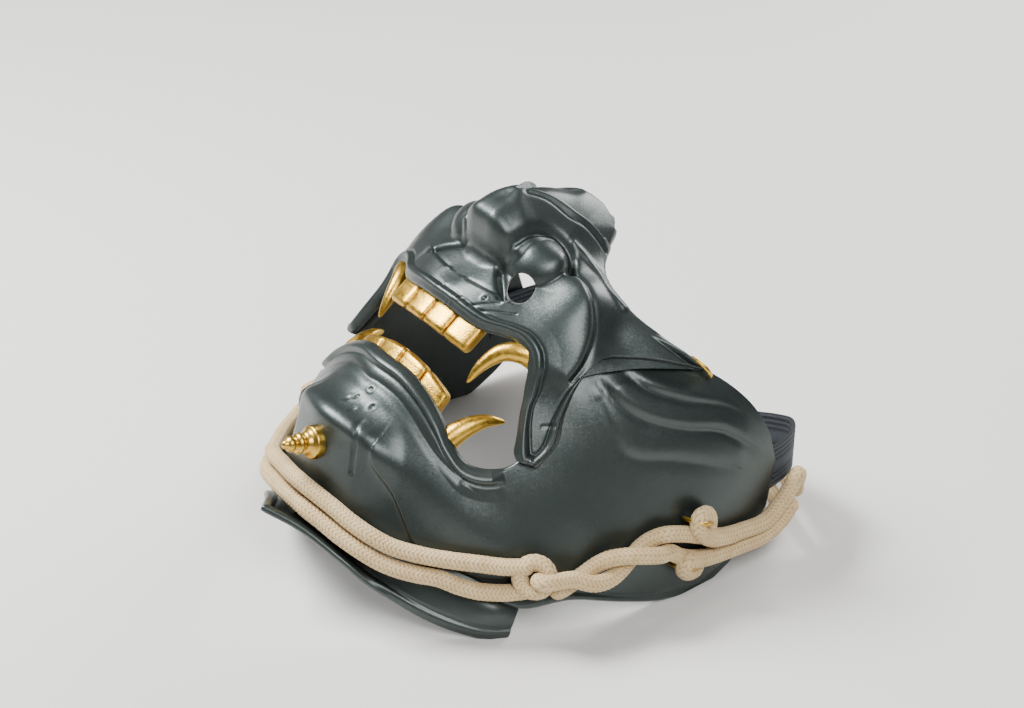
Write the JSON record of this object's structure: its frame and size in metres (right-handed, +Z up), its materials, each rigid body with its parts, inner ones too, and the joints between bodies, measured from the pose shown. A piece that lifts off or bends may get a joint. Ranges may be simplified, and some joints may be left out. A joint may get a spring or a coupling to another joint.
{
  "type": "samurai face guard",
  "caption": "Fierce half mask of samurai armour for the nose, cheeks and jaw, with gilded teeth, braided cords tied under the chin and an elastic strap; it lies on its back",
  "frame": {"origin": "middle of the bottom of the mask as it lies, on the surface it rests on, without its cords and strap", "axes": "+X to the wearer's left, +Z up from the surface, -Y towards the chin and +Y towards the back of the head; the face leans back 48 degrees"},
  "size_m": [0.1852, 0.2138, 0.1327],
  "materials": {
    "lacquer": "black lacquer with fine bright metal flake, satin",
    "gilding": "gilded, finely brushed",
    "brass_wire": "polished brass",
    "cord": "beige braided cord",
    "elastic": "black ribbed elastic webbing"
  },
  "bodies": {
    "root": {"jaw_shell": "lacquer", "throat_flange": "lacquer", "nose_piece": "lacquer", "upper_teeth": "gilding", "lower_teeth": "gilding", "upper_fang_left": "gilding", "upper_fang_right": "gilding", "lower_fang_left": "gilding", "lower_fang_right": "gilding", "chin_peg": "brass_wire", "cheek_staple_left": "brass_wire", "cheek_staple_right": "brass_wire", "cord_loop_upper_left": "brass_wire", "cord_loop_upper_right": "brass_wire", "cord_loop_lower_left": "brass_wire", "cord_loop_lower_right": "brass_wire", "chin_cord_upper": "cord", "chin_cord_lower": "cord", "back_cord_upper": "cord", "back_cord_lower": "cord", "knot_left": "cord", "knot_right": "cord", "hitch_upper_left": "cord", "hitch_upper_right": "cord", "hitch_lower_left": "cord", "hitch_lower_right": "cord", "elastic_strap": "elastic"}
  },
  "joints": []
}
